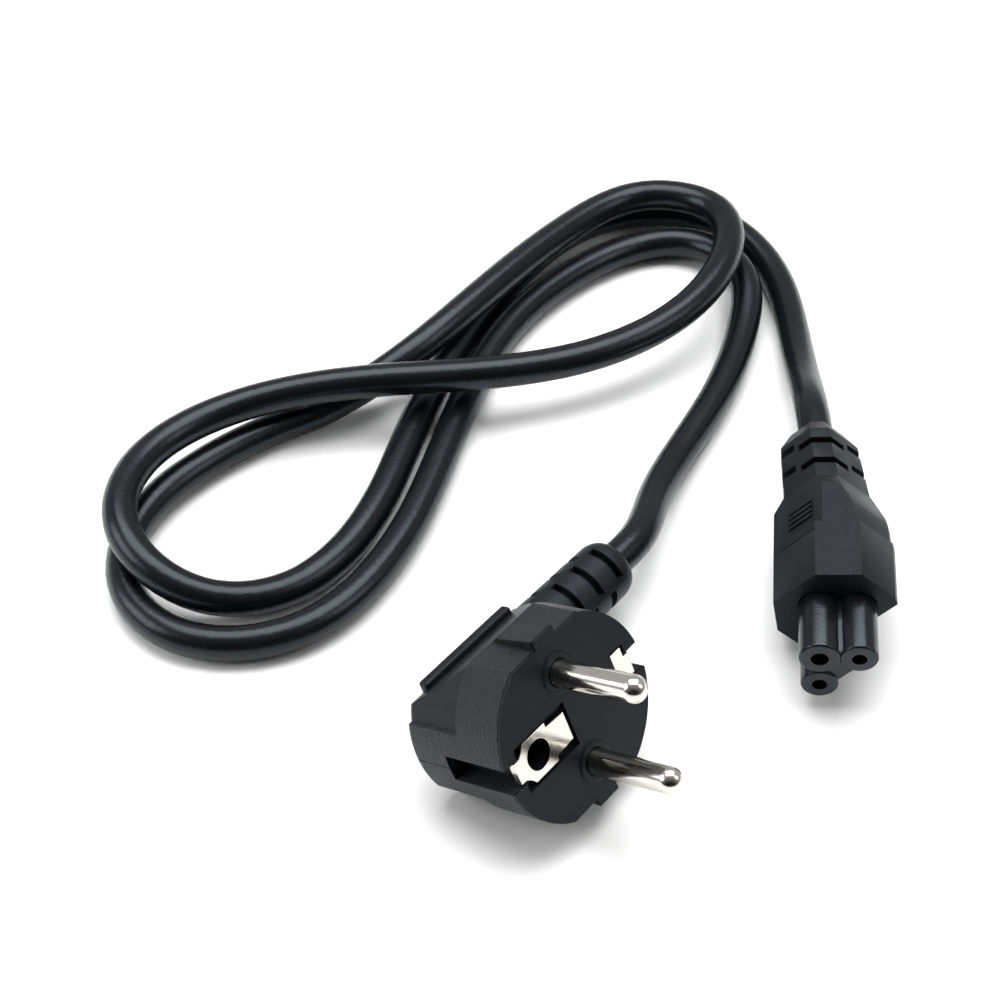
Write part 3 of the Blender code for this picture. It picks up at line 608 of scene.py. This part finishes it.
def rib(side):
    """A guide rib, lower at its back than at the face."""
    base, front, back = HEAD_FLAT - CLEARANCE, -FACE_LIP - CLEARANCE / 2, -HEAD_DEPTH + CLEARANCE
    points = []
    for y in (-RIB_HALF, RIB_HALF):
        for x, z in ((base, front), (RIB_OUT, front), (RIB_BACK_OUT, back + RIB_SHORT), (HEAD_FLAT, back),
                     (base, back)):
            points.append((side * x, y, z))
    return hull("rib", points)


def finger_bar():
    """The bar across the shell, near its back, that stands out on both sides."""
    points = []
    for x in (-SHELL_HALF - GRIP_RISE, SHELL_HALF + GRIP_RISE):
        for y in (GRIP_LOW, GRIP_TOP):
            points += [(x, y, -GRIP_AT), (x, y, -GRIP_AT - GRIP_THICK)]
    return hull("finger_bar", points, GRIP_ROUND)


def rear():
    """The hump over the cord at the plug's back."""
    points = []
    for side in (-1, 1):
        front = side * (SHELL_HALF - REAR_INSET)
        back = side * (SHELL_HALF - REAR_INSET - REAR_NARROWING)
        for y in (REAR_LOW, SHELL_TOP - REAR_INSET):
            points.append((front, y, -GRIP_AT))
        points += [(back, REAR_BACK_LOW, -REAR_DEPTH), (back, REAR_BACK_TOP, -REAR_DEPTH),
                   (back, REAR_BACK_TOP, -SHELL_BACK)]
    return hull("rear", points, REAR_ROUND)


def relief_radius(height, turn):
    """Radius of the plug's strain relief at a height, the same all round."""
    share = (height - PLUG_RELIEF_START) / (PLUG_RELIEF_END - RELIEF_CONE - PLUG_RELIEF_START)
    return PLUG_RELIEF_ROOT_R + share * (PLUG_RELIEF_R - PLUG_RELIEF_ROOT_R)


def relief_axis(height):
    """The plug's strain relief is straight, so its middle is the same at every height."""
    return (0.0, 0.0)


def plug_relief(place):
    """A slightly tapered barrel with a rounded end."""
    profile = [(PLUG_RELIEF_ROOT_R, PLUG_RELIEF_START)]
    for degree in range(0, 91, RELIEF_STEP):
        turn = radians(degree)
        profile.append((RELIEF_TIP_R + (PLUG_RELIEF_R - RELIEF_TIP_R) * cos(turn),
                        PLUG_RELIEF_END - RELIEF_CONE * (1 - sin(turn))))
    return turned("relief", profile, place)


def plug_seams():
    """Fine parting lines under the heel and along the strain relief."""
    deep = 2 * HEAD_R
    half = SEAM_WIDTH / 2
    relief = -CABLE_DEPTH + PLUG_RELIEF_R
    return [box("heel_seam", (-half, -deep, -deep), (half, -HEAD_R + SEAM_DEPTH, -NOTCH_DEPTH)),
            box("relief_seam", (-half, WAIST_R + SEAM_WIDTH, relief - SEAM_DEPTH),
                (half, PLUG_RELIEF_END - RELIEF_CONE, relief + PLUG_RELIEF_R))]


def plug_shell():
    """The plug's moulded body with its finger bars and strain relief."""
    shell = prism("plug_shell", face_outline(0.0, False), -HEAD_DEPTH, -FACE_LIP - CLEARANCE / 2)
    along = Matrix.Translation((0, 0, -CABLE_DEPTH)) @ Matrix.Rotation(-pi / 2, 4, "X")
    combine(shell, [waist(), heel(), rib(-1), rib(1), finger_bar(), rear(), plug_relief(along)], "UNION")

    tools = plug_seams()
    for side in (-1, 1):
        low, high = sorted((side * NOTCH_FLOOR, side * 2 * HEAD_R))
        tools.append(box("notch", (-NOTCH_HALF, low, -NOTCH_DEPTH), (NOTCH_HALF, high, NOTCH_HALF)))
    pocket = face_outline(FACE_ROOT_INSET - CLEARANCE, False, FACE_ROOT_NOTCH - CLEARANCE)
    tools.append(prism("pocket", pocket, -FACE_ROOT - CLEARANCE, NOTCH_HALF))
    for side in (-1, 1):
        tools.append(plate_bed("plate_way", side, NOTCH_FLOOR - FACE_ROOT_INSET))
    heights = [PLUG_RELIEF_END - PLUG_SLOTS_FROM_END - k * PLUG_SLOT_PITCH for k in range(PLUG_SLOT_COUNT)]
    tools += slots(relief_radius, relief_axis, heights, -PLUG_SLOT_PITCH / 2, along)
    combine(shell, tools, "DIFFERENCE")
    soften(shell, EASED)

    def pick(centre, normal):
        radius = (centre.x ** 2 + centre.y ** 2) ** 0.5
        round_head = centre.z > -HEAD_DEPTH - EASED and radius > HEAD_FLAT - EASED
        on_heel = centre.y < HEEL_TOP and abs(centre.x) < HEEL_HALF + EASED and radius > WAIST_R + EASED
        return 0 if round_head or on_heel else 1

    return settle(shell, PLUG, "plug_body", [GRAINED, SMOOTH], pick)


def plate_bed(name, side, near):
    """Cutter for a shallow bed in the face, open to the notch on that side."""
    low, high = sorted((side * near, side * (NOTCH_FLOOR + CLEARANCE / 2)))
    return box(name, (-PLATE_BED_HALF, low, -PLATE_BED_DEPTH), (PLATE_BED_HALF, high, PLATE_BED_DEPTH))


def plug_front():
    """The moulding that holds the pins."""
    face = prism("plug_front", face_outline(), -FACE_LIP, 0.0)
    tools = [prism("root", face_outline(FACE_ROOT_INSET, False, FACE_ROOT_NOTCH), -FACE_ROOT, -FACE_LIP / 2)]
    for side in (-1, 1):
        boss = turned("boss", [(PIN_BOSS_R, -FACE_LIP / 2), (PIN_BOSS_R, PIN_BOSS_HEIGHT / 2),
                               (PIN_BOSS_R - PIN_BOSS_HEIGHT, PIN_BOSS_HEIGHT)])
        tools.append(move(boss, (side * PIN_SPACING / 2, 0, 0)))
    combine(face, tools, "UNION")
    bore_r = PIN_R + CLEARANCE / 2
    tools = [plate_bed("plate_bed", -1, -PLATE_BED_TOP), plate_bed("clip_bed", 1, CLIP_FOOT_Y - CLEARANCE)]
    for side in (-1, 1):
        bore = turned("bore", [(bore_r, -PIN_ROOT - CLEARANCE), (bore_r, PIN_R)])
        tools.append(move(bore, (side * PIN_SPACING / 2, 0, 0)))
    earth = turned("earth_bore", [(EARTH_HOLE_R, -EARTH_HOLE_DEPTH), (EARTH_HOLE_R, PIN_R)])
    tools.append(move(earth, (0, EARTH_HOLE_Y, 0)))
    combine(face, tools, "DIFFERENCE")
    soften(face, EASED)
    return settle(face, PLUG, "plug_face", [FACE])


def pin(name, node, side):
    """A solid round pin with a ball end."""
    centre = PIN_LENGTH - PIN_R
    ball = [(PIN_R * cos(radians(a)), centre + PIN_R * sin(radians(a))) for a in range(0, 90, PIN_STEP)]
    made = turned(name, [(PIN_R, -PIN_ROOT)] + ball)
    move(made, (side * PIN_SPACING / 2, 0, 0))
    return settle(made, PLUG, node, [NICKEL])


def clip_outline(direction, depth, most):
    """Side view of a strip in an earth notch, bowed by the most given, as (y, z) pairs."""
    floor = NOTCH_FLOOR + CLEARANCE
    outer, inner = [], []
    for k in range(CLIP_SIDES + 1):
        share = k / CLIP_SIDES
        bow = most * sin(pi * share)
        z = -PLATE_SUNK - share * (depth - PLATE_SUNK)
        inner.append((direction * (floor + bow), z))
        outer.append((direction * (floor + bow + CLIP_THICK), z))
    return outer + list(reversed(inner))


def strip(name, outline, half):
    """A side view in (y, z), pulled along X by half its width each way."""
    bm = bmesh.new()
    pull(bm, bm.faces.new([bm.verts.new((-half, y, z)) for y, z in outline]), (2 * half, 0, 0))
    return made_object(name, bm)


def earth_plate():
    """The flat plate round the earth hole, with a short tip bent into the lower notch."""
    right = [(PLATE_HEAD_HALF, PLATE_BED_TOP - 2 * CLEARANCE), (PLATE_NECK_HALF, PLATE_SHOULDER_Y),
             (PLATE_HALF, PLATE_SHOULDER_Y), (PLATE_HALF, PLATE_LOW_Y),
             (CLIP_HALF + PLATE_SLOPE, PLATE_LOW_Y - PLATE_SLOPE), (CLIP_HALF, -NOTCH_FLOOR + CLEARANCE),
             (CLIP_HALF, -NOTCH_FLOOR - CLEARANCE - CLIP_THICK / 2)]
    outline = [(-x, y) for x, y in reversed(right)] + right
    plate = prism("earth_plate_metal", outline, -PLATE_SUNK - PLATE_THICK, -PLATE_SUNK)
    combine(plate, [strip("clip", clip_outline(-1, LOWER_CLIP_DEPTH, 0.0), CLIP_HALF)], "UNION")
    hole = turned("hole", [(EARTH_HOLE_R, -2 * PLATE_BED_DEPTH), (EARTH_HOLE_R, PLATE_THICK)])
    combine(plate, [move(hole, (0, EARTH_HOLE_Y, 0))], "DIFFERENCE")
    soften(plate, EASED / 2)
    return settle(plate, PLUG, "earth_plate", [NICKEL])


def earth_clip():
    """The upper side clip: a foot in the face and a bowed strip in the notch."""
    foot_end = NOTCH_FLOOR - CLEARANCE
    right = [(PLATE_HALF, CLIP_FOOT_Y), (PLATE_HALF, foot_end), (CLIP_HALF, foot_end),
             (CLIP_HALF, NOTCH_FLOOR + CLEARANCE + CLIP_THICK / 2)]
    outline = right + [(-x, y) for x, y in reversed(right)]
    clip = prism("earth_clip_metal", outline, -PLATE_SUNK - PLATE_THICK, -PLATE_SUNK)
    combine(clip, [strip("clip", clip_outline(1, UPPER_CLIP_DEPTH, CLIP_BOW), CLIP_HALF)], "UNION")
    soften(clip, EASED / 2)
    return settle(clip, PLUG, "earth_clip", [NICKEL])


# Connector

def body_section(narrower, lower, z):
    """The cross-section with both sides moved in and the top lowered."""
    half = BODY_HALF - narrower
    top = BODY_TOP_HALF + lower
    right = [(half - BODY_FOOT, BODY_BOTTOM), (half, BODY_FOOT_Y), (half, BODY_SHOULDER_Y + narrower)]
    section = [(BODY_MIDDLE_X + side * x, y) for side in (-1, 1) for x, y in right]
    return at(section + [(BODY_TOP_MIDDLE_X + side * top, BODY_TOP - lower) for side in (-1, 1)], z)


def relief_middle(z):
    """Where the middle of the leaning strain relief is, at a height."""
    share = (-z - RELIEF_FROM) / (CONNECTOR_RELIEF_END - RELIEF_FROM)
    return [near + share * (far - near) for near, far in zip(NECK_MIDDLE, TIP_MIDDLE)]


def relief_ring(half, z):
    """An eight-sided ring round the middle of the relief."""
    x, y = relief_middle(z)
    flat = FLAT_SHARE * half
    corners = [(half, flat), (flat, half)]
    return [(x + p * a, y + q * b, z) for p in (-1, 1) for q in (-1, 1) for a, b in corners]


def relief_reach(z, turn):
    """From the middle of the relief to its surface."""
    share = (-z - NECK_AT) / (CONNECTOR_RELIEF_END - CONNECTOR_CONE - NECK_AT)
    half = NECK_HALF + share * (CONNECTOR_RELIEF_HALF - NECK_HALF)
    across, along = abs(cos(turn)), abs(sin(turn))
    return min(half / max(across, along), half * (1 + FLAT_SHARE) / (across + along))


def lobes():
    """Centre, radius and hole radius of each lobe of the nose."""
    return [((0.0, EARTH_Y), EARTH_LOBE_R, EARTH_BORE_R), ((-LINE_X, 0.0), LINE_LOBE_R, LINE_HOLE_R),
            ((LINE_X, 0.0), LINE_LOBE_R, LINE_HOLE_R)]


def nose_solid(name, grown, low, high, rounding=0.0):
    """The three lobes and the web between them, grown by a clearance."""
    web = []
    for (x, y), radius, hole in lobes():
        web += [(x + a, y + b) for a, b in arc(radius / 2 + grown, 0, 2 * pi)[1:]]
    nose = hull(name, at(web, low) + at(web, high - rounding))
    tools = []
    for (x, y), radius, hole in lobes():
        profile = [(radius + grown, low)]
        for degree in range(0, 91, NOSE_STEP):
            turn = radians(degree)
            if rounding or degree == 0:
                profile.append((radius + grown - rounding * (1 - cos(turn)),
                                high - rounding * (1 - sin(turn))))
        tools.append(move(turned("lobe", profile), (x, y, 0)))
    return combine(nose, tools, "UNION")


def grip_bars():
    """Short raised bars for the fingers on the lowered part of the top."""
    bars = []
    top = BODY_TOP - BODY_TOP_STEP + GRIP_BAR_RISE
    for k in range(GRIP_BARS):
        z = -GRIP_BAR_AT - k * GRIP_BAR_PITCH
        low = (GRIP_BAR_MIDDLE_X - GRIP_BAR_HALF, BODY_TOP - 2 * BODY_TOP_STEP, z - GRIP_BAR_WIDTH / 2)
        high = (GRIP_BAR_MIDDLE_X + GRIP_BAR_HALF, top, z + GRIP_BAR_WIDTH / 2)
        bars.append(box("bar", low, high))
    return bars


def connector_shell():
    """The connector's moulded body, its shoulder and its strain relief."""
    front = body_section(0.0, 0.0, -NOSE_LENGTH) + body_section(0.0, 0.0, -BODY_FRONT_END)
    shell = hull("connector_shell", front)
    back = relief_ring(NECK_HALF, -NECK_AT)
    back += body_section(BODY_STEP, BODY_TOP_STEP, -BODY_FRONT_END + BODY_STEP)
    for depth, narrower in SHOULDER_RINGS:
        back += body_section(BODY_STEP + narrower, BODY_TOP_STEP, -depth)
    relief = relief_ring(NECK_HALF, -RELIEF_FROM)
    relief += relief_ring(CONNECTOR_RELIEF_HALF, -CONNECTOR_RELIEF_END + CONNECTOR_CONE)
    relief += relief_ring(CONNECTOR_TIP_HALF, -CONNECTOR_RELIEF_END)
    combine(shell, [hull("shoulder", back), hull("relief", relief)] + grip_bars(), "UNION")

    floor = -NOSE_LENGTH - NOSE_ROOT - CLEARANCE
    tools = [nose_solid("mouth", CLEARANCE / 2, floor, -NOSE_LENGTH + NOSE_ROUNDING)]
    heights = [-CONNECTOR_RELIEF_END + CONNECTOR_SLOTS_FROM_END + k * CONNECTOR_SLOT_PITCH
               for k in range(CONNECTOR_SLOT_COUNT)]
    tools += slots(relief_reach, relief_middle, heights, -CONNECTOR_SLOT_SHIFT, Matrix.Identity(4))
    line = -BODY_LINE_AT
    tools.append(box("line", (-BODY_HALF, BODY_TOP - SEAM_DEPTH, line - SEAM_WIDTH / 2),
                     (BODY_HALF, BODY_TOP + SEAM_WIDTH, line + SEAM_WIDTH / 2)))
    combine(shell, tools, "DIFFERENCE")
    soften(shell, 2 * EASED)

    def pick(centre, normal):
        slanted = normal.y > SLANT_UP and abs(normal.x) > SLANT_OUT and abs(normal.z) < SLANT_ALONG
        return 0 if slanted and centre.z > -RELIEF_FROM else 1

    return settle(shell, CONNECTOR, "connector_body", [GRAINED, SMOOTH], pick)


def connector_nose():
    """The hard three-lobe nose with a hole for each contact."""
    nose = nose_solid("nose_moulding", 0.0, -NOSE_LENGTH - NOSE_ROOT, 0.0, NOSE_ROUNDING)
    bores = [move(turned("bore", [(hole, -CONTACT_DEPTH - CLEARANCE), (hole, hole)]), (x, y, 0))
             for (x, y), radius, hole in lobes()]
    combine(nose, bores, "DIFFERENCE")
    soften(nose, EASED)
    return settle(nose, CONNECTOR, "connector_nose", [GLOSSY])


# Stage

def area_light(name, place, size, power):
    data = bpy.data.lights.new(name, "AREA")
    data.shape = "RECTANGLE"
    data.size, data.size_y = size
    data.energy = power
    lamp = bpy.data.objects.new(name, data)
    bpy.context.scene.collection.objects.link(lamp)
    lamp.location = place
    lamp.rotation_euler = (Vector(LIGHT_AIM) - Vector(place)).to_track_quat("-Z", "Y").to_euler()


def studio():
    """A soft white room, darker on the near side, where the camera stands."""
    world = bpy.data.worlds.new("studio")
    world.use_nodes = True
    tree = world.node_tree
    way = tree.nodes.new("ShaderNodeTexCoord")
    parts = tree.nodes.new("ShaderNodeSeparateXYZ")
    tree.links.new(way.outputs["Generated"], parts.inputs["Vector"])
    fade = tree.nodes.new("ShaderNodeMapRange")
    fade.inputs["From Min"].default_value, fade.inputs["From Max"].default_value = ROOM_FADE
    fade.inputs["To Min"].default_value, fade.inputs["To Max"].default_value = ROOM_STRENGTH
    tree.links.new(parts.outputs["Y"], fade.inputs["Value"])
    tree.links.new(fade.outputs["Result"], tree.nodes["Background"].inputs["Strength"])
    tree.nodes["Background"].inputs["Color"].default_value = (1, 1, 1, 1)
    return world


def stage():
    """White paper under the part, a room round it and three lights."""
    scene = bpy.context.scene
    scene.view_settings.view_transform = "Standard"
    scene.world = studio()

    bm = bmesh.new()
    bmesh.ops.create_grid(bm, x_segments=1, y_segments=1, size=FLOOR_REACH)
    floor = made_object("floor", bm)
    paper, _, shader = new_material("floor paper")
    shader.inputs["Base Color"].default_value = FLOOR_COLOUR
    shader.inputs["Roughness"].default_value = FLOOR_ROUGHNESS
    floor.data.materials.append(paper)
    floor.location.z = -CLEARANCE / 3

    for light in LIGHTS:
        area_light(*light)


def camera():
    data = bpy.data.cameras.new("camera")
    data.lens = CAMERA_LENS
    data.sensor_width = CAMERA_SENSOR
    data.clip_start = CAMERA_NEAR
    made = bpy.data.objects.new("camera", data)
    bpy.context.scene.collection.objects.link(made)
    made.location = CAMERA_PLACE
    made.rotation_euler = (pi / 2 - CAMERA_DOWN, 0, 0)
    bpy.context.scene.camera = made


camera()
sheath, cord_start, cord_length = cord()
plug_shell()
plug_front()
pin("pin_left_metal", "pin_left", -1)
pin("pin_right_metal", "pin_right", 1)
earth_plate()
earth_clip()
connector = [connector_shell(), connector_nose()]
for node in ("contact_earth", "contact_left", "contact_right"):
    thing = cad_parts[node]
    thing.data.materials.clear()
    thing.data.materials.append(NICKEL)
    connector.append(thing)
tuple(cord_start)
stage()
